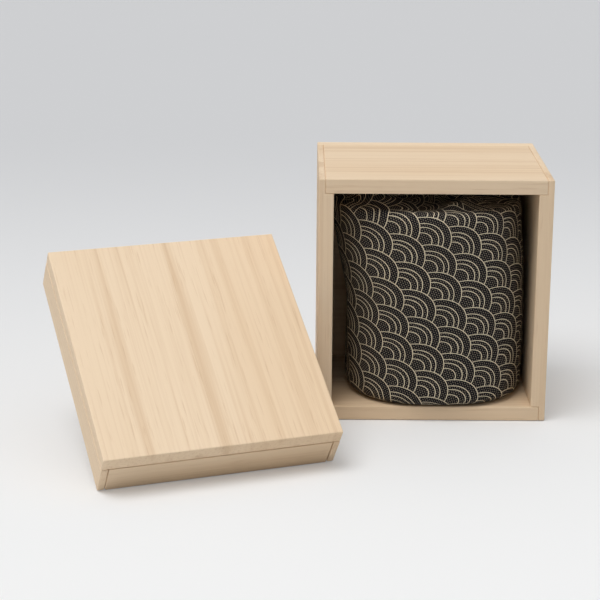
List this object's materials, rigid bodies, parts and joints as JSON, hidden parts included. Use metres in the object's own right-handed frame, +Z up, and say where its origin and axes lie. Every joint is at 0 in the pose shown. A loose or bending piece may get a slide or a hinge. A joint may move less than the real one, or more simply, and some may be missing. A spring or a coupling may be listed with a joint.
{
  "type": "boxed bark tea caddy",
  "caption": "Round lidded bark tea caddy wrapped in a patterned cloth pouch, standing in an open wooden box whose tongued lid leans beside it.",
  "frame": {"origin": "middle of the face that the box lies on", "axes": "+Z up along the caddy's axis, +X to the right, the box's mouth faces -Y"},
  "size_m": [0.192, 0.1542, 0.095],
  "materials": {
    "paulownia": "planed, unfinished",
    "bark": "polished cherry bark",
    "core_wood": "planed",
    "pouch_cloth": "printed cotton"
  },
  "bodies": {
    "box": {"box_left_side": "paulownia", "box_right_side": "paulownia", "box_bottom_side": "paulownia", "box_top_side": "paulownia", "box_back_panel": "paulownia"},
    "box_lid": {"lid_left_skirt": "paulownia", "lid_right_skirt": "paulownia", "lid_front_skirt": "paulownia", "lid_back_skirt": "paulownia", "lid_panel": "paulownia", "lid_tongue_left": "paulownia", "lid_tongue_right": "paulownia", "lid_tongue_front": "paulownia", "lid_tongue_back": "paulownia"},
    "wrapped_caddy": {"caddy_bark_skin": "bark", "caddy_core": "core_wood", "caddy_base_board": "core_wood", "caddy_lip_lining": "bark", "caddy_floor_lining": "bark", "pouch_body": "pouch_cloth", "pouch_gather": "pouch_cloth"},
    "caddy_lid": {"caddy_lid_bark_ring": "bark", "caddy_lid_core": "core_wood", "caddy_lid_board": "core_wood", "caddy_lid_top_bark": "bark", "caddy_lid_lining": "bark"}
  },
  "joints": [
    {"name": "lid_lift", "type": "slide", "parent": "box", "child": "box_lid", "axis": [0, 0, 1], "range_m": [0, 0.12]},
    {"name": "caddy_slide", "type": "slide", "parent": "box", "child": "wrapped_caddy", "axis": [0, -1, 0], "range_m": [0, 0.066]},
    {"name": "caddy_lid_lift", "type": "slide", "parent": "wrapped_caddy", "child": "caddy_lid", "axis": [0, 0, 1], "range_m": [0, 0.003], "deforming": ["pouch_gather"]}
  ]
}
